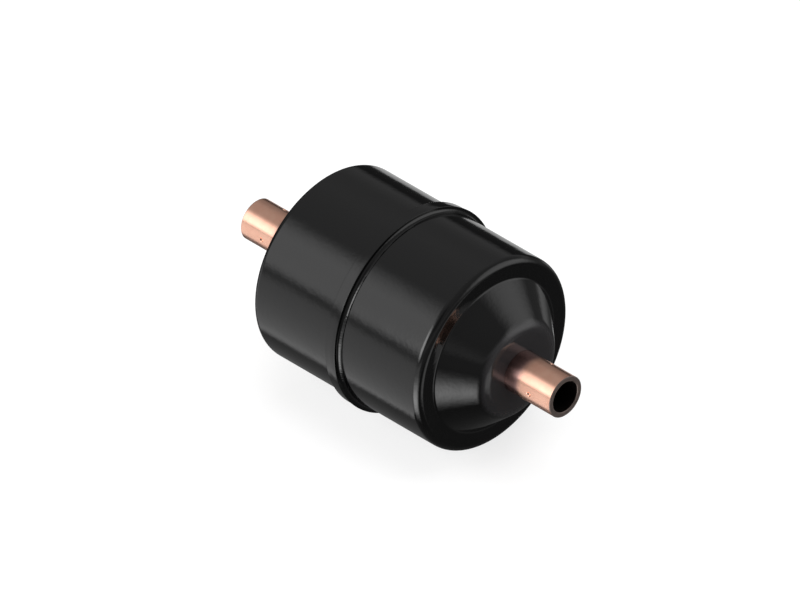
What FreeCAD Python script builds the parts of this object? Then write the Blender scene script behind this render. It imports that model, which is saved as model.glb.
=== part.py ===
import FreeCAD, Part
import math
import os

# One-way, solid-core filter drier for a refrigerant liquid line. Two drawn steel cups meet in a
# belled lap joint at the middle and are closed by one girth weld. A copper solder stub is brazed
# into the nose of each cup. Inside, a conical spring presses the moulded core onto its gasket and
# the perforated outlet plate.
#
# Frame: +X along the flow, from the inlet to the outlet, +Z up, origin on the axis, halfway
# between the two shoulders. Everything is turned about the X axis. Lengths are in millimetres.

# --- driving dimensions: the shell cups ---
body_diameter = 80.0
shell_wall = 1.9
shoulder_span = 87.6            # over the flat end shoulders of both cups
shoulder_corner_radius = 3.1
cone_base_diameter = 63.2       # where the cone's line would meet the shoulder
cone_base_fillet = 1.5
nose_diameter = 37.0            # where the cone's line would meet the nose face
nose_height = 14.0              # nose face in front of the shoulder
nose_fillet = 7.9

# --- the belled lap joint, on the inlet cup ---
slip_clearance = 0.1            # radial, between the bell and the outlet cup
bell_back = 2.9                 # bell's full diameter ends this far behind the middle
bell_front = 2.2                # bell's mouth is this far in front of the middle
bell_flare = 0.3                # radial growth of the mouth
bell_flare_length = 3.0
joggle_angle = 65.0             # of the step down to the body, from the axis
slip_end_gap = 0.3              # outlet cup's edge to the step inside the bell

# --- the girth weld ---
weld_reach = 1.7                # along the outlet cup, from the bell's mouth
weld_height = 1.6               # up the bell's mouth face
weld_toe_height = 0.2           # of the edge that the bead ends in
weld_hollow = 0.42              # depth of its face below flat
weld_root_depth = 1.2           # into the flared gap

# --- the copper stubs ---
stub_diameter = 17.0
stub_reach = 23.7               # outside the nose face
socket_diameter = 12.8
socket_depth = 9.8              # down to its end step
tube_bore = 12.4                # behind the socket
stub_edge = 0.2                 # chamfer at the open end
nose_hole_clearance = 0.05
flange_diameter = 23.0
flange_thickness = 1.6
dimple_count = 3
dimple_diameter = 1.9
dimple_tip_diameter = 0.7
dimple_depth = 0.8
dimple_setback = 0.2            # socket's end step to the dimple's edge
braze_leg = 1.0

# --- the core and what seals it ---
core_flow_gap = 4.6             # radial, round the core inside the shell
core_length = 64.0
core_edge_chamfer = 2.0
core_bore_diameter = 20.0
core_bore_depth = 50.0
core_bore_draft = 2.0           # degrees a side
gasket_thickness = 3.0
gasket_width = 9.7              # radial
gasket_inset = 0.3              # inside the core's edge
screen_thickness = 0.4
screen_ring_thickness = 0.6
screen_ring_width = 3.7         # radial
disc_clearance = 0.3            # radial, screen, ring and pad inside the gasket
cushion_thickness = 2.5

# --- the two pressed core cups and the spring ---
cup_sheet = 1.0
cup_depth = 7.0
cup_clearance = 0.4             # radial, round the core
cup_tab_count = 4
cup_tab_angle = 14.0
cup_tab_clearance = 0.4         # radial, tabs to the shell
hole_diameter = 4.2
hole_pitch = 7.0
hole_rings = 2
spring_strip_width = 2.0
spring_strip_height = 1.6
spring_turns = 2.25
spring_small_diameter = 40.0
spring_edge_clearance = 2.0     # large turn to the shell's side wall

AXIS = FreeCAD.Vector(1, 0, 0)
ORIGIN = FreeCAD.Vector(0, 0, 0)

# --- places that follow from the sizes above ---
body_radius = body_diameter / 2
shell_inner_radius = body_radius - shell_wall
shoulder_x = shoulder_span / 2
shoulder_inner_x = shoulder_x - shell_wall
nose_x = shoulder_x + nose_height
nose_inner_x = nose_x - shell_wall
nose_hole_radius = stub_diameter / 2 + nose_hole_clearance

bell_radius = body_radius + slip_clearance + shell_wall
bell_slope = bell_flare / bell_flare_length
bell_mouth_inner_radius = bell_radius + bell_flare - shell_wall * math.hypot(1, bell_slope)
joggle_length = (bell_radius - body_radius) / math.tan(math.radians(joggle_angle))
joggle_offset = shell_wall * math.tan(math.radians(joggle_angle / 2))
slip_end_x = -bell_back + joggle_offset + slip_end_gap

core_radius = shell_inner_radius - core_flow_gap
cup_inner_radius = core_radius + cup_clearance
cup_radius = cup_inner_radius + cup_sheet
outlet_cup_x = shoulder_inner_x - cup_sheet
screen_x = outlet_cup_x - screen_thickness
screen_ring_x = screen_x - screen_ring_thickness
core_outlet_x = outlet_cup_x - gasket_thickness
core_inlet_x = core_outlet_x - core_length
cushion_x = core_inlet_x - cushion_thickness
inlet_cup_x = cushion_x - cup_sheet
gasket_radius = core_radius - gasket_inset
gasket_bore_radius = gasket_radius - gasket_width
disc_radius = gasket_bore_radius - disc_clearance


def at(x, r):
    """A point of the half section: x along the axis, r out from it."""
    return FreeCAD.Vector(x, 0, r)


def outline(corners):
    """Closed face through (x, r, radius) corners, each rounded by its own radius."""
    count = len(corners)
    points = [at(x, r) for x, r, _ in corners]
    edges = []
    starts, ends = [], []
    for i, (_, _, radius) in enumerate(corners):
        here = points[i]
        if radius <= 0:
            starts.append(here)
            ends.append(here)
            continue
        back = (points[i - 1] - here).normalize()
        ahead = (points[(i + 1) % count] - here).normalize()
        half_angle = back.getAngle(ahead) / 2
        reach = radius / math.tan(half_angle)
        inward = (back + ahead).normalize()
        middle = here + inward * (radius / math.sin(half_angle) - radius)
        starts.append(here + back * reach)
        ends.append(here + ahead * reach)
        edges.append(Part.Arc(starts[i], middle, ends[i]).toShape())
    for i in range(count):
        start, end = ends[i], starts[(i + 1) % count]
        if start.distanceToPoint(end) > 1e-6:
            edges.append(Part.LineSegment(start, end).toShape())
    return Part.Face(Part.Wire(Part.__sortEdges__(edges)))


def turned(face, angle=360.0):
    """Solid of revolution about the X axis."""
    return face.revolve(ORIGIN, AXIS, angle)


def inner_skin(corners):
    """The corners moved one shell wall inwards, towards the axis and away from the nose.

    A wide corner keeps the wall even, and a tight one is sharp on the inside.
    """
    walls = []
    for (x0, r0, _), (x1, r1, _) in zip(corners, corners[1:]):
        length = math.hypot(x1 - x0, r1 - r0)
        walls.append(((r1 - r0) / length, -(x1 - x0) / length))
    x, r, _ = corners[0]
    skin = [(x, r + shell_wall / walls[0][1], 0)]
    for (x, r, radius), (ax, ar), (bx, br) in zip(corners[1:], walls, walls[1:]):
        scale = shell_wall / (1 + ax * bx + ar * br)
        turn = ar * bx - ax * br
        inner_radius = 0
        if radius > 2 * shell_wall:
            inner_radius = radius - shell_wall if turn > 0 else radius + shell_wall
        skin.append((x + (ax + bx) * scale, r + (ar + br) * scale, inner_radius))
    x, r, _ = corners[-1]
    skin.append((x - shell_wall, r, 0))
    return skin


def shell_cup(mouth):
    """A drawn cup from its mouth corners to the hole in its nose, at one wall thickness."""
    outside = mouth + [
        (shoulder_x, body_radius, shoulder_corner_radius),
        (shoulder_x, cone_base_diameter / 2, cone_base_fillet),
        (nose_x, nose_diameter / 2, nose_fillet),
        (nose_x, nose_hole_radius, 0),
    ]
    return turned(outline(outside + inner_skin(outside)[::-1]))


def outlet_shell():
    """The cup with the plain mouth, which slides into the bell."""
    return shell_cup([(slip_end_x, body_radius, 0)])


def inlet_shell():
    """The cup with the belled and slightly flared mouth, drawn outwards and then mirrored."""
    mouth = [
        (-bell_front, bell_radius + bell_flare, 0),
        (-bell_front + bell_flare_length, bell_radius, 0),
        (bell_back, bell_radius, 0),
        (bell_back + joggle_length, body_radius, 0),
    ]
    return mirrored(shell_cup(mouth))


def mirrored(shape):
    """The same piece for the inlet end."""
    return shape.mirror(ORIGIN, AXIS)


def girth_weld():
    """Hollow fillet bead against the bell's mouth, with its root in the flared gap."""
    toe = at(bell_front + weld_reach, body_radius)
    toe_edge = at(bell_front + weld_reach, body_radius + weld_toe_height)
    top = at(bell_front, body_radius + weld_height)
    face_slope = math.atan2(weld_height - weld_toe_height, weld_reach)
    face_middle = (top + toe_edge) * 0.5 - at(math.sin(face_slope), math.cos(face_slope)) * weld_hollow
    root_x = bell_front - weld_root_depth
    lip = at(bell_front, bell_mouth_inner_radius)
    root_top = at(root_x, bell_mouth_inner_radius - bell_slope * weld_root_depth)
    root_bottom = at(root_x, body_radius)
    edges = [
        Part.LineSegment(toe, toe_edge).toShape(),
        Part.Arc(toe_edge, face_middle, top).toShape(),
        Part.LineSegment(top, lip).toShape(),
        Part.LineSegment(lip, root_top).toShape(),
        Part.LineSegment(root_top, root_bottom).toShape(),
        Part.LineSegment(root_bottom, toe).toShape(),
    ]
    return turned(Part.Face(Part.Wire(edges)))


def copper_stub():
    """Stub with an inner flange, a sized socket at its open end and stop dimples behind it."""
    end_x = nose_x + stub_reach
    outer = stub_diameter / 2
    socket = socket_diameter / 2
    bore = tube_bore / 2
    flange_x = nose_inner_x - flange_thickness
    tube = turned(outline([
        (flange_x, bore, 0),
        (flange_x, flange_diameter / 2, 0),
        (nose_inner_x, flange_diameter / 2, 0),
        (nose_inner_x, outer, 0),
        (end_x - stub_edge, outer, 0),
        (end_x, outer - stub_edge, 0),
        (end_x, socket + stub_edge, 0),
        (end_x - stub_edge, socket, 0),
        (end_x - socket_depth, socket, 0),
        (end_x - socket_depth, bore, 0),
    ]))
    dimple_x = end_x - socket_depth - dimple_setback - dimple_diameter / 2
    for i in range(dimple_count):
        tube = dimpled(tube, dimple_x, -90 + i * 360 / dimple_count)
    return tube


def dimpled(tube, x, angle):
    """Tube with a dent punched in at one angle, and the matching stop bump in its bore."""
    tube_wall = (stub_diameter - tube_bore) / 2
    outward = FreeCAD.Rotation(AXIS, angle - 90).multVec(at(0, 1))
    dent = punch(outward * (stub_diameter / 2 - dimple_depth) + AXIS * x, outward)
    bump = punch(outward * (tube_bore / 2 - dimple_depth) + AXIS * x, outward)
    wall_middle = Part.makeCylinder((tube_bore + tube_wall) / 2, dimple_diameter * 2,
                                    AXIS * (x - dimple_diameter), AXIS)
    return tube.fuse(bump.common(wall_middle)).cut(dent)


def punch(tip, outward):
    """Blunt cone that widens outwards from its tip, to the dimple's size one dimple depth away."""
    tip_radius = dimple_tip_diameter / 2
    spread = (dimple_diameter / 2 - tip_radius) / dimple_depth
    length = dimple_depth * 3
    return Part.makeCone(tip_radius, tip_radius + spread * length, length, tip, outward)


def braze_ring():
    """Fillet of braze between the rim of the stub's flange and the inside of the nose."""
    rim = flange_diameter / 2
    return turned(outline([
        (nose_inner_x, rim, 0),
        (nose_inner_x, rim + braze_leg, 0),
        (nose_inner_x - braze_leg, rim, 0),
    ]))


def desiccant_core():
    """Moulded core, closed at the inlet end, with a drafted blind bore from the outlet end."""
    bore = core_bore_diameter / 2
    bore_end = bore - core_bore_depth * math.tan(math.radians(core_bore_draft))
    bore_end_x = core_outlet_x - core_bore_depth
    return turned(outline([
        (core_inlet_x, 0, 0),
        (core_inlet_x, core_radius - core_edge_chamfer, 0),
        (core_inlet_x + core_edge_chamfer, core_radius, 0),
        (core_outlet_x, core_radius, 0),
        (core_outlet_x, bore, 0),
        (bore_end_x, bore_end, 0),
        (bore_end_x, 0, 0),
    ]))


def disc(start_x, end_x, outer, inner=0.0):
    """Flat disc or ring between two places on the axis."""
    return turned(outline([(start_x, inner, 0), (start_x, outer, 0), (end_x, outer, 0), (end_x, inner, 0)]))


def core_cup(floor_x, direction):
    """Pressed cup round one end of the core, floor outwards, with tabs that centre it in the shell.

    floor_x is the inner face of its floor; direction is +1 or -1, from the floor to the shoulder.
    """
    back_x = floor_x + direction * cup_sheet
    rim_x = back_x - direction * cup_depth
    tab_x = rim_x + direction * cup_sheet
    cup = turned(outline([
        (back_x, 0, 0),
        (back_x, cup_radius, 0),
        (rim_x, cup_radius, 0),
        (rim_x, cup_inner_radius, 0),
        (floor_x, cup_inner_radius, 0),
        (floor_x, 0, 0),
    ]))
    tab_section = outline([
        (rim_x, cup_radius - cup_sheet / 2, 0),
        (rim_x, shell_inner_radius - cup_tab_clearance, 0),
        (tab_x, shell_inner_radius - cup_tab_clearance, 0),
        (tab_x, cup_radius - cup_sheet / 2, 0),
    ])
    for i in range(cup_tab_count):
        tab = turned(tab_section, cup_tab_angle)
        tab.rotate(ORIGIN, AXIS, i * 360 / cup_tab_count + cup_tab_angle)
        cup = cup.fuse(tab)
    return cup.removeSplitter()


def outlet_plate():
    """The outlet cup, with rings of flow holes inside the core's bore and the screen's opening."""
    plate = core_cup(outlet_cup_x, 1)
    drills = []
    for ring in range(hole_rings + 1):
        for i in range(max(6 * ring, 1)):
            turn = FreeCAD.Rotation(AXIS, i * 60 / max(ring, 1))
            start = turn.multVec(at(outlet_cup_x - cup_sheet, ring * hole_pitch))
            drills.append(Part.makeCylinder(hole_diameter / 2, cup_sheet * 3, start, AXIS))
    return plate.cut(drills)


def core_spring():
    """Conical spring of flat strip: small turn on the inlet cup, large turn on the shoulder."""
    free_length = shoulder_inner_x + inlet_cup_x
    rise = free_length - spring_strip_height
    small = spring_small_diameter / 2
    large = shell_inner_radius - spring_edge_clearance
    slant = math.hypot(rise, large - small)
    half_cone = math.degrees(math.atan2(large - small, rise))
    helix = Part.makeHelix(slant / spring_turns, slant, small, half_cone)
    half_width = spring_strip_width / 2
    section = Part.makePolygon([
        FreeCAD.Vector(small - half_width, 0, 0),
        FreeCAD.Vector(small + half_width, 0, 0),
        FreeCAD.Vector(small + half_width, 0, spring_strip_height),
        FreeCAD.Vector(small - half_width, 0, spring_strip_height),
        FreeCAD.Vector(small - half_width, 0, 0),
    ])
    spring = helix.makePipeShell([section], True, True)
    spring.rotate(ORIGIN, FreeCAD.Vector(0, 1, 0), -90)
    spring.translate(AXIS * inlet_cup_x)
    return spring


pieces = {
    "inlet_shell": inlet_shell(),
    "outlet_shell": outlet_shell(),
    "girth_weld": girth_weld(),
    "inlet_stub": mirrored(copper_stub()),
    "outlet_stub": copper_stub(),
    "inlet_braze": mirrored(braze_ring()),
    "outlet_braze": braze_ring(),
    "core_spring": core_spring(),
    "spring_plate": core_cup(cushion_x, -1),
    "cushion_pad": disc(cushion_x, core_inlet_x, core_radius),
    "desiccant_core": desiccant_core(),
    "core_gasket": disc(core_outlet_x, outlet_cup_x, gasket_radius, gasket_bore_radius),
    "filter_pad": disc(core_outlet_x, screen_ring_x, disc_radius),
    "screen_ring": disc(screen_ring_x, screen_x, disc_radius, disc_radius - screen_ring_width),
    "safety_screen": disc(screen_x, outlet_cup_x, disc_radius),
    "outlet_plate": outlet_plate(),
}

os.makedirs("parts", exist_ok=True)
for name, shape in pieces.items():
    solid = shape.Solids[0] if len(shape.Solids) == 1 else shape
    solid.exportStep(f"parts/{name}.step")
    print(f"{name}: {len(shape.Solids)} solid, {shape.Volume / 1000:.2f} cm3, valid {shape.isValid()}")
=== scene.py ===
# %% [markdown]
# # A refrigerant filter drier in black paint and copper
#
# The drier is a welded steel can that sits in the liquid line of a cooling plant. Two drawn cups
# make the can, one girth weld joins them, and a copper stub at each end takes the pipe. Its look
# is almost all reflection: glossy black paint shows whatever stands round it, and copper tints
# what it shows. So this lesson spends its effort on two things, smooth surfaces and a good studio.

# %% Load the frame
import math

import bmesh
import bpy
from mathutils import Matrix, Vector


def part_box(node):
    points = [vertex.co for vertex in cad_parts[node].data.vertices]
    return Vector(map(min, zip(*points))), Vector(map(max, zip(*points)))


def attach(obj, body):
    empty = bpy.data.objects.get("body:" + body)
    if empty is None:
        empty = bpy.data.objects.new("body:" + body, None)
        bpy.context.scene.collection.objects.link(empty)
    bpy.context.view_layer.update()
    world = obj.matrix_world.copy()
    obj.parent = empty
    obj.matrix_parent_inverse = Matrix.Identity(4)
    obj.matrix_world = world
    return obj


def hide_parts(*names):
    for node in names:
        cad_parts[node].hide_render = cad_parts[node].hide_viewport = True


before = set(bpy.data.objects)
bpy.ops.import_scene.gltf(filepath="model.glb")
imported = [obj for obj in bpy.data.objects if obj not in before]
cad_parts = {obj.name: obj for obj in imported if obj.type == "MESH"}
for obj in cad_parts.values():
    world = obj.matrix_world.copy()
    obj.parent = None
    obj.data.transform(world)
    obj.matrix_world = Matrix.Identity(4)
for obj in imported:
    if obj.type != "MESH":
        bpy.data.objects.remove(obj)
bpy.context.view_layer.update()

MM = 0.001
print("construction nodes:", ", ".join(sorted(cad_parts)))

# %% [markdown]
# ## Sizes
#
# The construction model holds the real sizes, so the outer ones are read from its boxes. What a
# box can't tell, such as a corner's radius, is named once, here or in the cell that needs it.
# Names that end in `_x` are places along the axis and names that end in `_r` are distances out
# from it, all in millimetres.


# %% Read and name the sizes
def span(node):
    """(low x, high x, outer radius) of a construction node, in millimetres."""
    low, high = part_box(node)
    return low[0] / MM, high[0] / MM, high[1] / MM


slip_x, nose_x, body_r = span("outlet_shell")
_, mouth_x, bell_r = span("inlet_shell")
weld_root_x, weld_toe_x, weld_r = span("girth_weld")
flange_x, stub_end_x, flange_r = span("outlet_stub")

wall = 1.9
nose_height = 14.0
shoulder_x = nose_x - nose_height
shoulder_corner = 3.1
cone_base_r, cone_base_fillet = 31.6, 1.5
nose_r, nose_fillet = 18.5, 7.9
nose_hole_r = 8.55

bell_flare, bell_flare_length = 0.3, 3.0
bell_back_x, bell_corner = -2.9, 0.2
joggle_length, joggle_corner = 0.93, 0.25
paint_edge = 0.15               # paint rounds a cut edge to about this radius

stub_r, socket_r, bore_r = 8.5, 6.4, 6.2
socket_depth = 9.8
stub_edge = 0.2
dimple_x = stub_end_x - 10.95
dimple_r, dimple_tip_r, dimple_depth = 0.95, 0.35, 0.8
dimple_angles = (180, 60, -60)
print(f"radii: body {body_r:.1f}, bell {bell_r:.1f}, weld {weld_r:.2f}")
print(f"shoulders at {shoulder_x:.1f} from the middle, noses at {nose_x:.1f}")

# %% [markdown]
# ## Drawing a profile
#
# Every outer piece was spun, drawn or welded round one axis, so each is a half section turned
# once round. A section is easiest to write as its sharp corners, each with the radius that the
# press tool gave it. The helper below swaps each corner for an arc of short steps. A mirror-like
# paint shows every facet as a kink in its reflections, so the steps are fine.


# %% Round the corners of a section
def rounded(corners, step=4.0, fewest=3):
    """Points (x, r) through (x, r, radius) corners; a round one becomes an arc of short steps."""
    points = []
    for i, (x, r, radius) in enumerate(corners):
        here = Vector((x, r))
        if radius <= 0:
            points.append(here)
            continue
        back = (Vector(corners[i - 1][:2]) - here).normalized()
        ahead = (Vector(corners[(i + 1) % len(corners)][:2]) - here).normalized()
        half = back.angle(ahead) / 2
        centre = here + (back + ahead).normalized() * (radius / math.sin(half))
        start = here + back * (radius / math.tan(half)) - centre
        turn = (math.pi - 2 * half) * math.copysign(1, back.x * ahead.y - back.y * ahead.x)
        steps = max(fewest, round(math.degrees(abs(turn)) / step))
        for k in range(steps + 1):
            a = -turn * k / steps
            points.append(centre + Vector((
                start.x * math.cos(a) - start.y * math.sin(a),
                start.x * math.sin(a) + start.y * math.cos(a),
            )))
    return points


def thickened(points, thickness):
    """A closed section: the open line, then the same line one wall further in, run backwards."""
    inner = []
    for i, here in enumerate(points):
        before = (here - points[i - 1]).normalized() if i > 0 else None
        after = (points[i + 1] - here).normalized() if i < len(points) - 1 else None
        sides = [Vector((d.y, -d.x)) for d in (before, after) if d is not None]
        across = sum(sides, Vector((0, 0))) / len(sides)
        inner.append(here + across * (thickness / across.length_squared))
    return points + inner[::-1]


print("a right-angled corner becomes", len(rounded([(0, 1, 0), (1, 1, 0.3), (1, 0, 0)])), "points")

# %% [markdown]
# ## Turning a profile with Geometry Nodes
#
# Blender's Screw modifier or a bmesh spin could turn the section. A small Geometry Nodes tree is
# used because it says the rule outright: a grid has one row for each point of the section and one
# column for each step of the turn, and one more of each that lies on the first. Each grid point
# looks up its section point and turns it about the X axis, and Merge by Distance closes the seams.
# The steps, the merging distance and the material stay named inputs.


# %% Helpers for node trees
def add(tree, kind, **settings):
    """A node with its settings and, by socket name or number, its input values."""
    node = tree.nodes.new(kind)
    values = settings.pop("values", {})
    for name, value in settings.items():
        setattr(node, name, value)
    for socket, value in values.items():
        node.inputs[socket].default_value = value
    return node


def feed(tree, source, socket):
    """Wires another node's output to a socket, or sets the socket to a plain value."""
    if isinstance(source, bpy.types.NodeSocket):
        tree.links.new(source, socket)
    else:
        socket.default_value = source


class Maths:
    """Writes sums as nested calls: each call adds one math node and gives back its output."""

    def __init__(self, tree):
        self.tree = tree

    def __call__(self, operation, *sources):
        node = add(self.tree, "ShaderNodeMath", operation=operation)
        for source, socket in zip(sources, node.inputs):
            feed(self.tree, source, socket)
        return node.outputs[0]


print("helpers for node trees are ready")


# %% Build the turning tree
def turning_tree():
    tree = bpy.data.node_groups.new("turned_section", "GeometryNodeTree")
    face = tree.interface
    for label, kind in [("Section", "Geometry"), ("Turn Steps", "Int"),
                        ("Weld Gap", "Float"), ("Material", "Material")]:
        face.new_socket(label, in_out="INPUT", socket_type="NodeSocket" + kind)
    face.new_socket("Piece", in_out="OUTPUT", socket_type="NodeSocketGeometry")
    given = add(tree, "NodeGroupInput")
    made = add(tree, "NodeGroupOutput")
    wire, maths = tree.links.new, Maths(tree)

    count = add(tree, "GeometryNodeAttributeDomainSize")
    wire(given.outputs["Section"], count.inputs["Geometry"])
    points = count.outputs["Point Count"]
    columns = maths("ADD", given.outputs["Turn Steps"], 1)
    grid = add(tree, "GeometryNodeMeshGrid")
    wire(maths("ADD", points, 1), grid.inputs["Vertices X"])
    wire(columns, grid.inputs["Vertices Y"])

    index = add(tree, "GeometryNodeInputIndex").outputs[0]
    row = maths("FLOOR", maths("DIVIDE", index, columns))
    column = maths("MODULO", index, columns)
    section = add(tree, "GeometryNodeSampleIndex", data_type="FLOAT_VECTOR", domain="POINT")
    wire(given.outputs["Section"], section.inputs["Geometry"])
    wire(add(tree, "GeometryNodeInputPosition").outputs[0], section.inputs["Value"])
    wire(maths("MODULO", row, points), section.inputs["Index"])
    turn = maths("DIVIDE", column, given.outputs["Turn Steps"])
    place = add(tree, "ShaderNodeVectorRotate", rotation_type="X_AXIS")
    wire(section.outputs["Value"], place.inputs["Vector"])
    wire(maths("MULTIPLY", turn, math.tau), place.inputs["Angle"])

    moved = add(tree, "GeometryNodeSetPosition")
    wire(grid.outputs["Mesh"], moved.inputs["Geometry"])
    wire(place.outputs[0], moved.inputs["Position"])
    closed = add(tree, "GeometryNodeMergeByDistance")
    wire(moved.outputs[0], closed.inputs["Geometry"])
    wire(given.outputs["Weld Gap"], closed.inputs["Distance"])
    real = add(tree, "GeometryNodeRealizeInstances")
    wire(closed.outputs[0], real.inputs["Geometry"])
    dressed = add(tree, "GeometryNodeSetMaterial")
    wire(real.outputs[0], dressed.inputs["Geometry"])
    wire(given.outputs["Material"], dressed.inputs["Material"])
    wire(dressed.outputs[0], made.inputs["Piece"])
    return tree


turning = turning_tree()
print("turning tree:", len(turning.nodes), "nodes")

# %% [markdown]
# The tree runs as a modifier on a mesh that holds only the section. Its inputs are set by each
# socket's identifier before anything is evaluated, and then the evaluated result becomes a plain
# mesh of its own. Edges where two faces meet at more than 40 degrees are marked sharp, so that
# smooth shading doesn't smear light round a cut edge.


# %% Turn a section into a finished mesh
seam_gap, speck = 1e-7, 1e-8    # metres: points this close are one, and edges this short go


def turned(name, section, finish, steps=256):
    """Plain mesh object from a closed section in millimetres, turned about X, faces outwards."""
    mesh = bpy.data.meshes.new(name)
    count = len(section)
    mesh.from_pydata([(p.x * MM, 0, p.y * MM) for p in section],
                     [(i, (i + 1) % count) for i in range(count)], [])
    piece = bpy.data.objects.new(name, mesh)
    bpy.context.scene.collection.objects.link(piece)
    modifier = piece.modifiers.new("turn", "NODES")
    modifier.node_group = turning
    values = {"Turn Steps": steps, "Weld Gap": seam_gap, "Material": finish}
    for socket in turning.interface.items_tree:
        if socket.name in values:
            modifier[socket.identifier] = values[socket.name]
    result = piece.evaluated_get(bpy.context.evaluated_depsgraph_get())
    finished = bpy.data.meshes.new_from_object(result)
    piece.modifiers.clear()
    piece.data = finished
    bpy.data.meshes.remove(mesh)
    tidy_mesh(piece)
    return piece


def tidy_mesh(piece, sharp=40.0):
    """Recalculates the normals outwards, shades smooth and marks the sharp edges."""
    work = bmesh.new()
    work.from_mesh(piece.data)
    bmesh.ops.dissolve_degenerate(work, dist=speck, edges=work.edges)
    bmesh.ops.recalc_face_normals(work, faces=work.faces)
    for polygon in work.faces:
        polygon.smooth = True
    for edge in work.edges:
        edge.smooth = edge.calc_face_angle(0) < math.radians(sharp)
    work.to_mesh(piece.data)
    cubic_cm = work.calc_volume() / (10 * MM) ** 3
    open_edges = sum(len(edge.link_faces) != 2 for edge in work.edges)
    print(f"{piece.name}: {len(work.faces)} faces, {cubic_cm:.2f} cm3, {open_edges} open edges")
    work.free()


# %% [markdown]
# ## Finishes
#
# A finish that more than one material needs is a shader node group: here the soft unevenness of
# sprayed paint, the lines that a drawing die leaves, and the blotches of handled metal. Groups
# put out only numbers that vary over the surface; the Principled shader stays in each material,
# and what is the same all over is set straight on its sockets.


# %% Helpers for shader groups
def shader_group(name, inputs, outputs):
    """An empty shader group with float inputs (name: default), a vector input and float outputs."""
    tree = bpy.data.node_groups.new(name, "ShaderNodeTree")
    tree.interface.new_socket("Coordinates", in_out="INPUT", socket_type="NodeSocketVector")
    for label, value in inputs.items():
        socket = tree.interface.new_socket(label, in_out="INPUT", socket_type="NodeSocketFloat")
        socket.default_value = value
    for label in outputs:
        tree.interface.new_socket(label, in_out="OUTPUT", socket_type="NodeSocketFloat")
    return tree, add(tree, "NodeGroupInput"), add(tree, "NodeGroupOutput")


def noise(tree, coordinates, scale, **values):
    """A noise texture whose scale comes from another node; its other inputs are given by name."""
    node = add(tree, "ShaderNodeTexNoise", values=values)
    tree.links.new(coordinates, node.inputs["Vector"])
    tree.links.new(scale, node.inputs["Scale"])
    return node.outputs["Fac"]


def smooth_mask(tree, value, start, end):
    """0 where the value is at start and 1 where it is at end, with a soft change between."""
    node = add(tree, "ShaderNodeMapRange", interpolation_type="SMOOTHSTEP")
    tree.links.new(value, node.inputs["Value"])
    feed(tree, start, node.inputs["From Min"])
    feed(tree, end, node.inputs["From Max"])
    return node.outputs["Result"]


print("helpers for patterns are ready")


# %% Make the shader groups
def uneven_paint():
    """Orange peel: the fine ripple of sprayed and baked paint, on a broader and higher one."""
    tree, given, made = shader_group("uneven_paint", {"Cells Per Metre": 600.0}, ["Height"])
    maths = Maths(tree)
    breadth, broad_height = 0.22, 1.6
    place, cells = given.outputs["Coordinates"], given.outputs["Cells Per Metre"]
    fine = noise(tree, place, cells, Detail=1.5, Roughness=0.5)
    broad = noise(tree, place, maths("MULTIPLY", cells, breadth), Detail=1.0)
    tree.links.new(maths("MULTIPLY_ADD", broad, broad_height, fine), made.inputs["Height"])
    return tree


def drawn_lines():
    """Faint lines along X, as a drawing die leaves them, and a slow change in shade across them."""
    inputs = {"Lines Per Metre": 4000.0}
    tree, given, made = shader_group("drawn_lines", inputs, ["Height", "Shade"])
    along, shade_breadth = 0.01, 0.12
    squeeze = add(tree, "ShaderNodeVectorMath", operation="MULTIPLY", values={1: (along, 1.0, 1.0)})
    tree.links.new(given.outputs["Coordinates"], squeeze.inputs[0])
    place, fineness = squeeze.outputs[0], given.outputs["Lines Per Metre"]
    lines = noise(tree, place, fineness, Detail=2.0)
    shade = noise(tree, place, Maths(tree)("MULTIPLY", fineness, shade_breadth), Detail=2.0)
    tree.links.new(lines, made.inputs["Height"])
    tree.links.new(shade, made.inputs["Shade"])
    return tree


def blotches():
    """Soft patches, 0 to 1, for tarnish, handling marks and changes in gloss."""
    inputs = {"Patches Per Metre": 60.0, "Spread": 0.2}
    tree, given, made = shader_group("blotches", inputs, ["Mask"])
    maths, middle = Maths(tree), 0.5
    patch = noise(tree, given.outputs["Coordinates"], given.outputs["Patches Per Metre"],
                  Detail=4.0, Roughness=0.6)
    low = maths("SUBTRACT", middle, given.outputs["Spread"])
    high = maths("ADD", middle, given.outputs["Spread"])
    tree.links.new(smooth_mask(tree, patch, low, high), made.inputs["Mask"])
    return tree


uneven_paint_group, drawn_lines_group, blotches_group = uneven_paint(), drawn_lines(), blotches()
print("shader groups:", uneven_paint_group.name, drawn_lines_group.name, blotches_group.name)


# %% Helpers for materials
def material(name, color, metallic, roughness=0.5, ior=1.5):
    """A material with plain values; returns it, its tree, its shader and Object coordinates."""
    made = bpy.data.materials.new(name)
    made.use_nodes = True
    tree = made.node_tree
    shader = tree.nodes["Principled BSDF"]
    shader.inputs["Base Color"].default_value = (*color, 1)
    shader.inputs["Metallic"].default_value = metallic
    shader.inputs["Roughness"].default_value = roughness
    shader.inputs["IOR"].default_value = ior
    made.diffuse_color = (*color, 1)
    return made, tree, shader, add(tree, "ShaderNodeTexCoord").outputs["Object"]


def pattern(tree, group, coordinates, **values):
    """One of the groups above, fed with coordinates and its own values."""
    node = add(tree, "ShaderNodeGroup", node_tree=group)
    tree.links.new(coordinates, node.inputs["Coordinates"])
    for label, value in values.items():
        node.inputs[label.replace("_", " ")].default_value = value
    return node


def bump(tree, shader, height, depth):
    """Feeds a height into the shader's normal; depth is in metres."""
    node = add(tree, "ShaderNodeBump", values={"Strength": 1.0, "Distance": depth})
    tree.links.new(height, node.inputs["Height"])
    tree.links.new(node.outputs["Normal"], shader.inputs["Normal"])


def between(tree, mask, low, high):
    """A value between low and high, chosen by a mask; each is a number or a node's output."""
    node = add(tree, "ShaderNodeMapRange")
    tree.links.new(mask, node.inputs["Value"])
    feed(tree, low, node.inputs["To Min"])
    feed(tree, high, node.inputs["To Max"])
    return node.outputs["Result"]


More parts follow.
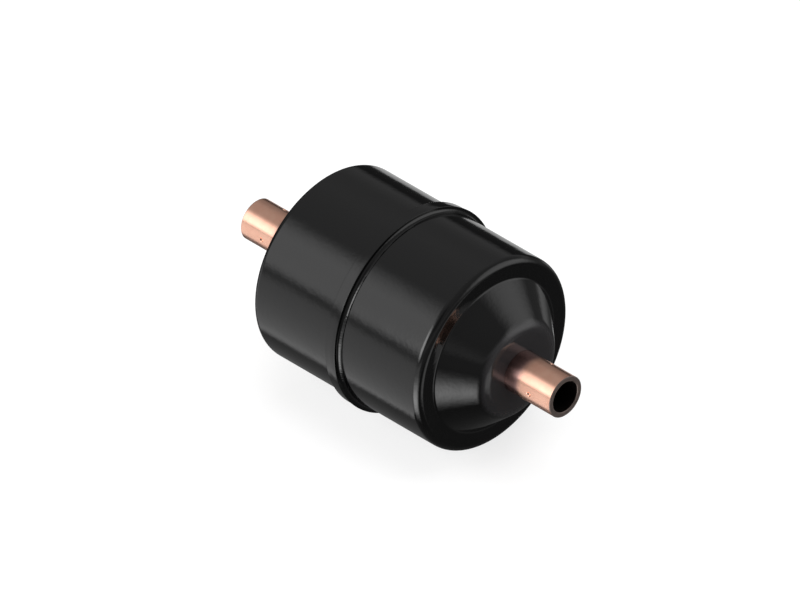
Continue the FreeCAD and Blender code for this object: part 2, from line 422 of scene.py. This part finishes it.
def tinted(tree, mask, low, high):
    """A colour between low and high, chosen by a mask; each is a colour or a node's output."""
    node = add(tree, "ShaderNodeMix", data_type="RGBA")
    tree.links.new(mask, node.inputs[0])
    first_color, second_color, mixed_color = 6, 7, 2     # the sockets that a mix of colours uses
    for color, number in ((low, first_color), (high, second_color)):
        feed(tree, (*color, 1) if isinstance(color, tuple) else color, node.inputs[number])
    return node.outputs[mixed_color]


print("helpers for materials are ready")

# %% [markdown]
# ### Black paint
#
# The can is sprayed or dipped in black enamel and baked. Such paint is nearly a mirror with very
# little colour of its own, so its base is almost black and its roughness low. Without orange peel
# it would look like moulded plastic: a height of a few hundredths of a millimetre makes the edges
# of the reflections waver. On the nose the heat of brazing leaves a faint grey bloom; a mask by
# distance from the part's axis keeps it to the nose.


# %% Make the black paint
def black_paint():
    enamel, bloomed = (0.002, 0.002, 0.0021), (0.035, 0.034, 0.036)
    bloom_start_r, bloom_full_r = nose_r + 2.0, nose_r - 0.5
    glossy, hazy = 0.06, 0.11       # roughness
    made, tree, shader, coordinates = material("black_gloss_paint", enamel, metallic=0.0)
    wire = tree.links.new
    peel = pattern(tree, uneven_paint_group, coordinates, Cells_Per_Metre=620.0)
    bump(tree, shader, peel.outputs["Height"], depth=0.000028)
    haze = pattern(tree, blotches_group, coordinates, Patches_Per_Metre=45.0, Spread=0.25)
    wire(between(tree, haze.outputs["Mask"], glossy, hazy), shader.inputs["Roughness"])
    across = add(tree, "ShaderNodeVectorMath", operation="MULTIPLY", values={1: (0.0, 1.0, 1.0)})
    wire(coordinates, across.inputs[0])
    radius = add(tree, "ShaderNodeVectorMath", operation="LENGTH")
    wire(across.outputs[0], radius.inputs[0])
    bloom = smooth_mask(tree, radius.outputs["Value"], bloom_start_r * MM, bloom_full_r * MM)
    wire(tinted(tree, bloom, enamel, bloomed), shader.inputs["Base Color"])
    return made


paint = black_paint()
print("made", paint.name)

# %% [markdown]
# ### Copper
#
# The stubs are drawn copper tube, bright but handled. Copper has no colour under its surface: as
# a metal it tints what it reflects. The die leaves faint lines along the tube, and air and fingers
# leave patches that are a little browner. Beside the nose the colour is darkened: partly the heat
# stain of brazing, partly painted reflection of the dark nose, and it fades out within 9 mm. The
# saw leaves a dull end whose dark colour is painted shade. Two masks along X place the stain with
# its painted reflection, and the end. The socket and the bore get a second, near-black material:
# painted shade for the dark inside of the tube.


# %% Make the copper finishes
def along_stub(tree, coordinates, start, end):
    """Mask from 0 to 1 between two distances from the part's middle, in millimetres along X."""
    parts = add(tree, "ShaderNodeSeparateXYZ")
    tree.links.new(coordinates, parts.inputs[0])
    distance = Maths(tree)("ABSOLUTE", parts.outputs["X"])
    return smooth_mask(tree, distance, start * MM, end * MM)


def copper():
    bright, handled = (1.0, 0.59, 0.44), (0.96, 0.53, 0.39)
    # The dark colour beside the nose is heat stain and painted reflection of the dark nose, in one.
    stain_and_nose_reflection, sawn_end_painted_shade = (0.42, 0.25, 0.23), (0.25, 0.2, 0.18)
    stain_and_reflection_end_x, stain_and_reflection_full_x = nose_x + 8.8, nose_x + 5.2
    sawn_start_x, sawn_full_x = stub_end_x - 0.35, stub_end_x - stub_edge
    smooth, lined, rough = 0.2, 0.29, 0.5       # roughness: two of the drawn tube, one of the saw
    made, tree, shader, coordinates = material("drawn_copper", bright, metallic=1.0)
    wire = tree.links.new
    lines = pattern(tree, drawn_lines_group, coordinates, Lines_Per_Metre=5200.0)
    bump(tree, shader, lines.outputs["Height"], depth=0.000004)
    patches = pattern(tree, blotches_group, coordinates, Patches_Per_Metre=240.0, Spread=0.22)
    # Mask for the heat stain and the painted reflection of the nose, fading out along the stub.
    stain_and_reflection_mask = along_stub(tree, coordinates, stain_and_reflection_end_x, stain_and_reflection_full_x)
    cut = along_stub(tree, coordinates, sawn_start_x, sawn_full_x)
    clean = tinted(tree, patches.outputs["Mask"], bright, handled)
    stained_and_reflecting = tinted(tree, stain_and_reflection_mask, clean, stain_and_nose_reflection)
    # The sawn end's dark colour is painted shade, for the dim room that the end faces; its dullness
    # is real roughness.
    wire(tinted(tree, cut, stained_and_reflecting, sawn_end_painted_shade), shader.inputs["Base Color"])
    drawn = between(tree, lines.outputs["Shade"], smooth, lined)
    wire(between(tree, cut, drawn, rough), shader.inputs["Roughness"])
    return made


def bore_shade_finish():
    # The near-black of the socket and the bore is painted shade, for the dark inside of the tube.
    lighter_bore_shade, deeper_bore_shade = (0.005, 0.0035, 0.003), (0.002, 0.0015, 0.0014)
    made, tree, shader, coordinates = material("painted_bore_shade", (0.003, 0.002, 0.002),
                                               metallic=0.0, roughness=0.8, ior=1.15)
    patches = pattern(tree, blotches_group, coordinates, Patches_Per_Metre=400.0, Spread=0.3)
    tree.links.new(tinted(tree, patches.outputs["Mask"], deeper_bore_shade, lighter_bore_shade), shader.inputs["Base Color"])
    return made


tube_copper, bore_painted_shade = copper(), bore_shade_finish()
print("made", tube_copper.name, "and", bore_painted_shade.name)

# %% [markdown]
# ## The two shell cups
#
# Both cups are drawn from sheet about 2 mm thick, so each section is one outer line, thickened
# inwards. The outlet cup's mouth is plain and slides into the inlet cup's, which is belled out by
# a step and then a slight flare. The end of each cup is a flat shoulder, a cone and a flat nose.


# %% Draw the end that both cups share
def cup_end():
    """Corners from the side wall to the hole in the nose, for the end that faces +X."""
    return [
        (shoulder_x, body_r, shoulder_corner),
        (shoulder_x, cone_base_r, cone_base_fillet),
        (nose_x, nose_r, nose_fillet),
        (nose_x, nose_hole_r, 0),
    ]


def outlet_shell():
    line = rounded([(slip_x, body_r, 0)] + cup_end())
    return turned("outlet_cup", thickened(line, wall), paint)


outlet_cup = outlet_shell()

# %% [markdown]
# The inlet cup is drawn facing +X like its twin and then turned to face the other way. Its mouth
# was cut square, and the paint has rounded the cut edge: that small radius catches the light, and
# without it the bell would look like a paper edge.


# %% Turn the inlet cup
def inlet_shell():
    line = rounded([
        (-mouth_x, bell_r, 0),
        (bell_flare_length - mouth_x, bell_r - bell_flare, 0),
        (-bell_back_x, bell_r - bell_flare, bell_corner),
        (joggle_length - bell_back_x, body_r, joggle_corner),
    ] + cup_end())
    section = thickened(line, wall)
    edge_steps = 5
    angles = [math.radians(90 - 90 * k / edge_steps) for k in range(edge_steps + 1)]
    edge = [Vector((paint_edge * (1 - math.sin(a)) - mouth_x,
                    bell_r - paint_edge * (1 - math.cos(a)))) for a in angles]
    section = edge + section[1:]
    return turned("inlet_cup", [Vector((-p.x, p.y)) for p in section], paint)


inlet_cup = inlet_shell()

# %% [markdown]
# ## The girth weld
#
# The weld fills the corner between the bell's mouth and the outlet cup. Its face is a little
# hollow and flattens out towards the toe, so it catches one thin line of light there. An arc bead
# is never quite even: the weld pool freezes in small ripples, and the whole bead swells and
# shrinks slowly round the joint. The section is the smooth shape, and each point of its face is
# then moved by a few waves, while the toe and the root stay put.


# %% Draw the bead's section and its waves
weld_toe_height, weld_hollow = 0.2, 0.42        # the face ends this high and dips this deep
weld_root_height, weld_back_height = 0.2, 0.35  # how far the back stands off the body
face_steps = 16
ripple_depth, swell_depth = 0.012, 0.02         # times the distances from the top and the toe


def weld_section():
    top = Vector((mouth_x, weld_r))
    toe = Vector((weld_toe_x, body_r + weld_toe_height))
    inwards = Vector((toe.y - top.y, top.x - toe.x)).normalized() * weld_hollow
    face = [top.lerp(toe, t) + inwards * 4 * t * (1 - t)
            for t in (k / face_steps for k in range(face_steps + 1))]
    back = [(weld_toe_x, body_r), (weld_root_x, body_r),
            (weld_root_x, body_r + weld_root_height), (mouth_x, body_r + weld_back_height)]
    return face + [Vector(point) for point in back]


def weld_dip(turn):
    """How deep the face lies at an angle round the joint: fine ripples on slow swells, never up."""
    ripples, cross_ripples, drifts, swells, cross_swells = 211, 149, 17, 23, 41    # in one turn
    drift, cross_share, cross_phase, swell_phase = 2, 0.8, 1.3, 4.1
    ripple = math.sin(ripples * turn + drift * math.sin(drifts * turn))
    ripple += cross_share * math.sin(cross_ripples * turn + cross_phase)
    swell = math.sin(swells * turn + swell_phase) + math.sin(cross_swells * turn)
    highest_ripple, highest_swell = 1 + cross_share, 2
    return ripple_depth * (highest_ripple + ripple) + swell_depth * (highest_swell + swell)


print("bead section:", len(weld_section()), "points, dip at angle 0:", round(weld_dip(0), 3))


# %% Lay the weld bead
def girth_weld():
    margin = 1e-3
    bead = turned("weld_bead", weld_section(), paint, steps=1200)
    for vertex in bead.data.vertices:
        x, y, z = vertex.co
        inside = (x / MM - mouth_x) * (weld_toe_x - x / MM)
        if inside < margin:                     # on the toe, on the top or behind it
            continue
        scale = 1 - weld_dip(math.atan2(z, y)) * inside * MM / math.hypot(y, z)
        vertex.co = (x, y * scale, z * scale)
    return bead


weld_bead = girth_weld()

# %% [markdown]
# ## The copper stubs
#
# Each stub is a tube with a sized socket at its open end and a flange inside the nose. Three
# punched dimples stop the pipe at the socket's end. A boolean would cut them with ragged edges,
# so the section gets extra points where they lie, and those points are pushed in: by the full
# depth in the middle and by nothing at the rim, on the outside and in the bore alike.


# %% Draw a stub's section
def stub_section():
    """The tube's half section, with close rows of points where the dimples lie."""
    half_rows, spread, row_gap = 12, 1.1, 0.02
    rows = [dimple_x + dimple_r * spread * k / half_rows for k in range(-half_rows, half_rows + 1)]
    stop_x = stub_end_x - socket_depth
    outer = [(nose_x - wall, stub_r)] + [(x, stub_r) for x in rows]
    outer += [(stub_end_x - stub_edge, stub_r), (stub_end_x, stub_r - stub_edge)]
    inner = [(stub_end_x, socket_r + stub_edge), (stub_end_x - stub_edge, socket_r)]
    inner += [(stop_x, socket_r), (stop_x, bore_r)]
    inner += [(x, bore_r) for x in reversed(rows) if x < stop_x - row_gap]
    inner += [(flange_x, bore_r), (flange_x, flange_r), (nose_x - wall, flange_r)]
    return [Vector(point) for point in outer + inner]


print("stub section:", len(stub_section()), "points")


# %% Turn the stubs, press their dimples and paint shade into their bores
def press_dimples(piece):
    """Pushes the wall in at each dimple, with straight sides down to a small flat bottom."""
    for vertex in piece.data.vertices:
        x, y, z = (value / MM for value in vertex.co)
        if abs(x - dimple_x) > dimple_r:
            continue
        r = math.hypot(y, z)
        for angle in dimple_angles:
            away = (math.atan2(z, y) - math.radians(angle) + math.pi) % math.tau - math.pi
            distance = math.hypot(x - dimple_x, away * r) / dimple_r
            if distance < 1:
                pushed = r - dimple_depth * min(1.0, (1 - distance) / (1 - dimple_tip_r / dimple_r))
                vertex.co = (x * MM, y * pushed / r * MM, z * pushed / r * MM)


def paint_bore_shade(piece):
    """Gives the faces of the socket and the bore the painted shade, up to the open end's chamfer.
    """
    bore_shade_r, bore_shade_start_x = socket_r + stub_edge / 4, flange_x + 0.1
    piece.data.materials.append(bore_painted_shade)
    for face in piece.data.polygons:
        middle = face.center / MM
        if math.hypot(middle.y, middle.z) < bore_shade_r and middle.x > bore_shade_start_x:
            face.material_index = len(piece.data.materials) - 1


def stub(name, mirrored):
    piece = turned(name, stub_section(), tube_copper, steps=480)
    press_dimples(piece)
    paint_bore_shade(piece)
    if mirrored:
        for vertex in piece.data.vertices:
            vertex.co.x = -vertex.co.x
        tidy_mesh(piece)
    return piece


outlet_pipe = stub("outlet_pipe_stub", mirrored=False)
inlet_pipe = stub("inlet_pipe_stub", mirrored=True)

# %% [markdown]
# ## Inside the can
#
# Almost nothing inside shows until the can is cut open: only what lies straight behind a bore.
# The construction shapes are right as they are, so these nodes keep their meshes and only get
# finishes: plated steel cups, a dark spring, a woven screen, felt pads, a fibre gasket, a grainy
# moulded core and the braze at each flange.


# %% Finishes for the inner pieces
def plated_steel(name, color, roughness):
    smoother, rougher = roughness - 0.08, roughness + 0.1
    made, tree, shader, coordinates = material(name, color, metallic=1.0)
    lines = pattern(tree, drawn_lines_group, coordinates, Lines_Per_Metre=2500.0)
    bump(tree, shader, lines.outputs["Height"], depth=0.00001)
    patches = pattern(tree, blotches_group, coordinates, Patches_Per_Metre=90.0, Spread=0.2)
    gloss = between(tree, patches.outputs["Mask"], smoother, rougher)
    tree.links.new(gloss, shader.inputs["Roughness"])
    return made


def woven_wire():
    gap, metal = (0.03, 0.03, 0.03), (0.55, 0.55, 0.56)
    made, tree, shader, coordinates = material("woven_stainless_wire", (0.45, 0.45, 0.46),
                                               metallic=1.0, roughness=0.35)
    weave = []
    for axis in ("Y", "Z"):
        wave = add(tree, "ShaderNodeTexWave", bands_direction=axis,
                   values={"Scale": 500.0, "Distortion": 0.0})
        tree.links.new(coordinates, wave.inputs["Vector"])
        weave.append(wave.outputs["Fac"])
    over = Maths(tree)("MAXIMUM", *weave)
    tree.links.new(tinted(tree, over, gap, metal), shader.inputs["Base Color"])
    bump(tree, shader, over, depth=0.0001)
    return made


def soft_fibre(name, low, high, fibres):
    clump = 6                       # a patch is as wide as this many fibres
    made, tree, shader, coordinates = material(name, low, metallic=0.0, roughness=0.95)
    hair = pattern(tree, drawn_lines_group, coordinates, Lines_Per_Metre=fibres)
    patches = pattern(tree, blotches_group, coordinates, Patches_Per_Metre=fibres / clump,
                      Spread=0.3)
    tree.links.new(tinted(tree, patches.outputs["Mask"], low, high), shader.inputs["Base Color"])
    bump(tree, shader, hair.outputs["Height"], depth=0.0002)
    return made


def moulded_core():
    grain_top, grain_gap = (0.78, 0.74, 0.65), (0.52, 0.48, 0.41)
    made, tree, shader, coordinates = material("moulded_desiccant", (0.70, 0.66, 0.57),
                                               metallic=0.0, roughness=0.9)
    grain = add(tree, "ShaderNodeTexVoronoi", values={"Scale": 700.0})
    tree.links.new(coordinates, grain.inputs["Vector"])
    distance = grain.outputs["Distance"]
    tree.links.new(tinted(tree, distance, grain_top, grain_gap), shader.inputs["Base Color"])
    bump(tree, shader, distance, depth=0.0003)
    return made


inner_finishes = {
    "core_spring": plated_steel("oil_tempered_spring_steel", (0.22, 0.22, 0.24), 0.4),
    "spring_plate": plated_steel("zinc_plated_steel", (0.62, 0.61, 0.56), 0.32),
    "safety_screen": woven_wire(),
    "cushion_pad": soft_fibre("glass_felt", (0.84, 0.83, 0.77), (0.72, 0.70, 0.63), 1800.0),
    "core_gasket": soft_fibre("pressed_fibre", (0.36, 0.37, 0.34), (0.27, 0.28, 0.26), 2600.0),
    "desiccant_core": moulded_core(),
    "outlet_braze": plated_steel("braze_alloy", (0.80, 0.66, 0.42), 0.3),
}
inner_finishes["outlet_plate"] = inner_finishes["screen_ring"] = inner_finishes["spring_plate"]
inner_finishes["filter_pad"] = inner_finishes["cushion_pad"]
inner_finishes["inlet_braze"] = inner_finishes["outlet_braze"]

for node, finish in inner_finishes.items():
    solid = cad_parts[node]
    for slot in solid.material_slots:
        slot.material = finish
    print(node, "is now", finish.name)

# %% [markdown]
# ## Tie the pieces to the construction
#
# Each finished piece rides on the one rigid body and stands for its construction node, which is
# hidden.

# %% Ride and replace
for piece, node, slot_name in [
    (outlet_cup, "outlet_shell", "black_paint"),
    (inlet_cup, "inlet_shell", "black_paint"),
    (weld_bead, "girth_weld", "black_paint"),
    (outlet_pipe, "outlet_stub", "copper"),
    (inlet_pipe, "inlet_stub", "copper"),
]:
    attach(piece, "root")
    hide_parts(node)
print("pieces tied")

# %% [markdown]
# ## The studio
#
# Glossy black paint looks its best in a room that is mostly dim, with a few large soft panels
# placed so that each lays one clean band along the body. The panels are written into the world
# as soft-edged windows of azimuth and elevation, so they sit far away and every part of a
# cylinder shows the same bands. The camera itself sees plain white.


# %% Groups that make soft panels of light
def fade(tree, value, limit, edge):
    """1 below the limit and 0 above it, blended softly over an edge to either side."""
    maths = Maths(tree)
    return smooth_mask(tree, value, maths("ADD", limit, edge), maths("SUBTRACT", limit, edge))


def soft_panel_group():
    """Brightness of a panel with soft edges, from a direction; all angles are in degrees."""
    sizes = {"Azimuth": 0.0, "Elevation": 0.0, "Half Width": 20.0, "Half Height": 20.0,
             "Side Edge": 5.0, "Top Edge": 5.0, "Bottom Edge": 5.0, "Level": 1.0}
    tree, given, made = shader_group("soft_panel", sizes, ["Light"])
    wire = tree.links.new
    maths = Maths(tree)
    size = given.outputs
    turn = add(tree, "ShaderNodeVectorRotate", rotation_type="Z_AXIS")
    wire(size["Coordinates"], turn.inputs["Vector"])
    wire(maths("RADIANS", maths("MULTIPLY", size["Azimuth"], -1.0)), turn.inputs["Angle"])
    parts = add(tree, "ShaderNodeSeparateXYZ")
    wire(turn.outputs[0], parts.inputs[0])
    across = maths("DEGREES", maths("ARCTAN2", parts.outputs["Y"], parts.outputs["X"]))
    height = maths("DEGREES", maths("ARCSINE", parts.outputs["Z"]))
    above = maths("SUBTRACT", height, size["Elevation"])
    below = maths("MULTIPLY", above, -1.0)
    sides = fade(tree, maths("ABSOLUTE", across), size["Half Width"], size["Side Edge"])
    top = fade(tree, above, size["Half Height"], size["Top Edge"])
    bottom = fade(tree, below, size["Half Height"], size["Bottom Edge"])
    window = maths("MULTIPLY", sides, maths("MULTIPLY", top, bottom))
    wire(maths("MULTIPLY", window, size["Level"]), made.inputs["Light"])
    return tree


def soft_disc_group():
    """Brightness of a round lamp with a soft rim, from a direction; all angles are in degrees."""
    sizes = {"Azimuth": 0.0, "Elevation": 0.0, "Radius": 20.0, "Edge": 5.0, "Level": 1.0}
    tree, given, made = shader_group("soft_disc", sizes, ["Light"])
    wire = tree.links.new
    maths = Maths(tree)
    size = given.outputs
    lifted = add(tree, "ShaderNodeVectorRotate", rotation_type="Y_AXIS",
                 values={"Vector": (1, 0, 0)})
    wire(maths("RADIANS", maths("MULTIPLY", size["Elevation"], -1.0)), lifted.inputs["Angle"])
    aimed = add(tree, "ShaderNodeVectorRotate", rotation_type="Z_AXIS")
    wire(lifted.outputs[0], aimed.inputs["Vector"])
    wire(maths("RADIANS", size["Azimuth"]), aimed.inputs["Angle"])
    facing = add(tree, "ShaderNodeVectorMath", operation="DOT_PRODUCT")
    wire(size["Coordinates"], facing.inputs[0])
    wire(aimed.outputs[0], facing.inputs[1])
    away = maths("DEGREES", maths("ARCCOSINE", facing.outputs["Value"]))
    disc = fade(tree, away, size["Radius"], size["Edge"])
    wire(maths("MULTIPLY", disc, size["Level"]), made.inputs["Light"])
    return tree


soft_panel, soft_disc = soft_panel_group(), soft_disc_group()
print("made", soft_panel.name, "and", soft_disc.name)

# %% [markdown]
# The dim room is a gradient from floor to ceiling: dark round the horizon, where black cloth
# hangs, and mid grey overhead. In it stand a broad window on the near left with one bright pane, a
# round lamp on the right, and faint glows beyond the outlet and on the ceiling. The camera on its
# stand is a dark shape, so its panel takes light away. Azimuth runs from X towards Y.
#
# Camera and transmission rays see plain white, at a strength of 1. Glossy rays see the pale table
# as it lies round a thing that stands on it: bright on the near side and in patches further off,
# and dim close under the can, in its own shade. The table isn't white all round for them, because
# black gloss would then show a pale line along every edge, where the real one is dark.

# %% Light the studio
lights = {
    "left window": dict(Azimuth=-119.0, Elevation=24.0, Half_Width=30.0, Half_Height=20.0,
                        Side_Edge=8.0, Top_Edge=12.0, Bottom_Edge=5.0, Level=1.28),
    "bright pane": dict(Azimuth=-103.0, Elevation=20.0, Half_Width=15.0, Half_Height=14.0,
                        Side_Edge=8.0, Top_Edge=8.0, Bottom_Edge=6.0, Level=3.6),
    "outlet glow": dict(Azimuth=5.0, Elevation=2.0, Half_Width=90.0, Half_Height=15.0,
                        Side_Edge=25.0, Top_Edge=8.0, Bottom_Edge=9.0, Level=0.17),
    "ceiling": dict(Azimuth=180.0, Elevation=60.0, Half_Width=85.0, Half_Height=24.0,
                    Side_Edge=30.0, Top_Edge=10.0, Bottom_Edge=12.0, Level=0.1),
    "dark camera": dict(Azimuth=-50.0, Elevation=42.0, Half_Width=15.0, Half_Height=13.0,
                        Side_Edge=5.0, Top_Edge=5.0, Bottom_Edge=5.0, Level=-0.15),
}
pale_table = {
    "near table": dict(Azimuth=-110.0, Elevation=-27.0, Half_Width=54.0, Half_Height=26.0,
                       Side_Edge=8.0, Top_Edge=8.0, Bottom_Edge=2.0, Level=0.8),
    "its bright end": dict(Azimuth=-73.0, Elevation=-38.0, Half_Width=31.0, Half_Height=13.5,
                           Side_Edge=14.0, Top_Edge=16.0, Bottom_Edge=13.0, Level=3.7),
    "far table": dict(Azimuth=129.0, Elevation=-23.5, Half_Width=12.0, Half_Height=10.5,
                      Side_Edge=4.0, Top_Edge=2.0, Bottom_Edge=3.0, Level=0.53),
    "far corner": dict(Azimuth=98.0, Elevation=-14.0, Half_Width=8.0, Half_Height=5.0,
                       Side_Edge=5.0, Top_Edge=4.0, Bottom_Edge=9.0, Level=0.44),
    "outlet edge": dict(Azimuth=16.0, Elevation=-28.0, Half_Width=17.0, Half_Height=9.0,
                        Side_Edge=9.0, Top_Edge=6.0, Bottom_Edge=4.0, Level=0.85),
    "under the can": dict(Azimuth=172.0, Elevation=-55.0, Half_Width=34.0, Half_Height=18.0,
                          Side_Edge=6.0, Top_Edge=8.0, Bottom_Edge=8.0, Level=0.07),
}
round_lamp = dict(Azimuth=44.0, Elevation=17.0, Radius=26.0, Edge=10.0, Level=0.98)
lowest_grey, highest_grey = 0.08, 0.30
# (height, grey) between the two, where straight down is 0 and straight up is 1
room_greys = [(0.35, 0.07), (0.44, 0.03), (0.54, 0.03), (0.60, 0.22), (0.80, 0.24)]


def studio_world():
    world = bpy.data.worlds.new("studio")
    world.use_nodes = True
    tree = world.node_tree
    tree.nodes.clear()
    wire, maths = tree.links.new, Maths(tree)
    direction = add(tree, "ShaderNodeTexCoord").outputs["Generated"]
    parts = add(tree, "ShaderNodeSeparateXYZ")
    wire(direction, parts.inputs[0])
    room = add(tree, "ShaderNodeMapRange", values={"From Min": -1.0, "From Max": 1.0})
    wire(parts.outputs["Z"], room.inputs["Value"])
    ramp = add(tree, "ShaderNodeValToRGB")
    stops = ramp.color_ramp.elements
    stops[0].color = (lowest_grey, lowest_grey, lowest_grey, 1)
    stops[1].color = (highest_grey, highest_grey, highest_grey, 1)
    for height, grey in room_greys:
        stops.new(height).color = (grey, grey, grey, 1)
    wire(room.outputs["Result"], ramp.inputs["Fac"])
    ray = add(tree, "ShaderNodeLightPath").outputs
    panels = [pattern(tree, soft_panel, direction, **values) for values in lights.values()]
    panels.append(pattern(tree, soft_disc, direction, **round_lamp))
    total = ramp.outputs["Color"]
    for panel in panels:
        total = maths("ADD", total, panel.outputs["Light"])
    for values in pale_table.values():
        sheet = pattern(tree, soft_panel, direction, **values).outputs["Light"]
        total = maths("ADD", total, maths("MULTIPLY", sheet, ray["Is Glossy Ray"]))
    room_light = add(tree, "ShaderNodeBackground")
    wire(total, room_light.inputs["Color"])
    white = add(tree, "ShaderNodeBackground", values={"Color": (1, 1, 1, 1)})
    choice = add(tree, "ShaderNodeMixShader")
    wire(maths("ADD", ray["Is Camera Ray"], ray["Is Transmission Ray"]), choice.inputs["Fac"])
    wire(room_light.outputs[0], choice.inputs[1])
    wire(white.outputs[0], choice.inputs[2])
    output = add(tree, "ShaderNodeOutputWorld")
    wire(choice.outputs[0], output.inputs["Surface"])
    return world


bpy.context.scene.world = studio_world()
print("studio with", len(lights), "panels, a round lamp and", len(pale_table), "parts of the table")

# %% [markdown]
# ## Floor and lamps
#
# The floor is pale and plain. It glows just enough to meet the white behind it, and the rest of
# its brightness comes from the lamps, so the object's soft shadow stays. Glossy rays pass through
# it to the pale table of the studio, and from below it is clear.


# %% Lay the floor
def floor_material():
    made = bpy.data.materials.new("pale_floor")
    made.use_nodes = True
    tree = made.node_tree
    tree.nodes.clear()
    wire = tree.links.new
    lit_grey, glow_grey = 0.3, 0.76
    lit = add(tree, "ShaderNodeBsdfDiffuse", values={"Color": (lit_grey, lit_grey, lit_grey, 1)})
    glow = add(tree, "ShaderNodeEmission", values={"Color": (glow_grey, glow_grey, glow_grey, 1)})
    ray = add(tree, "ShaderNodeLightPath").outputs
    seen = Maths(tree)("ADD", ray["Is Camera Ray"], ray["Is Transmission Ray"])
    wire(seen, glow.inputs["Strength"])
    both = add(tree, "ShaderNodeAddShader")
    wire(lit.outputs[0], both.inputs[0])
    wire(glow.outputs[0], both.inputs[1])
    clear = add(tree, "ShaderNodeBsdfTransparent")
    side = add(tree, "ShaderNodeNewGeometry")
    choice = add(tree, "ShaderNodeMixShader")
    wire(side.outputs["Backfacing"], choice.inputs["Fac"])
    wire(both.outputs[0], choice.inputs[1])
    wire(clear.outputs[0], choice.inputs[2])
    wire(choice.outputs[0], add(tree, "ShaderNodeOutputMaterial").inputs["Surface"])
    return made


floor_reach = 3.0               # metres from the middle to each side
floor_z = -bell_r * MM
floor_corners = [(-1, -1), (1, -1), (1, 1), (-1, 1)]
floor_mesh = bpy.data.meshes.new("floor")
floor_mesh.from_pydata([(x * floor_reach, y * floor_reach, floor_z) for x, y in floor_corners],
                       [], [(0, 1, 2, 3)])
floor_mesh.materials.append(floor_material())
floor = bpy.data.objects.new("floor", floor_mesh)
bpy.context.scene.collection.objects.link(floor)
floor.visible_glossy = False
floor.visible_shadow = False
print("floor at z", round(floor_z / MM, 2), "mm")


# %% Hang the lamps
def soft_lamp(name, place, size, power):
    """A square area lamp aimed at the origin, for matt surfaces and the shadow on the floor."""
    data = bpy.data.lights.new(name, "AREA")
    data.size = size
    data.energy = power
    lamp = bpy.data.objects.new(name, data)
    lamp.location = place
    lamp.rotation_euler = (-Vector(place)).to_track_quat("-Z", "Y").to_euler()
    lamp.visible_glossy = False
    bpy.context.scene.collection.objects.link(lamp)


soft_lamp("overhead_softbox", place=(0.1, 0.2, 1.4), size=1.2, power=16.0)
soft_lamp("left_softbox", place=(-0.5, -1.1, 0.8), size=0.9, power=6.0)
print("lamps hung")

# %% [markdown]
# ## Camera
#
# A very long lens from far away draws the object almost without perspective, as a catalogue view
# does: the three axes are shortened alike when it looks down at 35.26 degrees from 45 degrees
# round. The frame is a little under 0.3 m wide, and the aim is a few millimetres to the left of
# the object's middle and above it.


# %% Place the camera
def catalogue_camera(azimuth, elevation, lens, frame_width, aim_right, aim_up):
    data = bpy.data.cameras.new("catalogue_camera")
    data.lens = lens
    a, e = math.radians(azimuth), math.radians(elevation)
    back = Vector((math.sin(a) * math.cos(e), -math.cos(a) * math.cos(e), math.sin(e)))
    distance = lens * frame_width / data.sensor_width
    camera = bpy.data.objects.new("catalogue_camera", data)
    turn = (-back).to_track_quat("-Z", "Y")
    aim = turn @ Vector((aim_right, aim_up, 0))
    camera.location = aim + back * distance
    camera.rotation_mode = "QUATERNION"
    camera.rotation_quaternion = turn
    data.clip_start, data.clip_end = distance * 0.5, distance * 2
    bpy.context.scene.collection.objects.link(camera)
    return camera


camera = catalogue_camera(azimuth=45.0, elevation=35.264, lens=1200.0, frame_width=0.2987,
                          aim_right=-0.00386, aim_up=0.0028)
bpy.context.scene.camera = camera
print("camera", round(camera.location.length, 2), "m away")

# %% [markdown]
# ## Finish
#
# The view transform is Standard, so colours show as they are written.

# %% Finish
bpy.context.scene.view_settings.view_transform = "Standard"
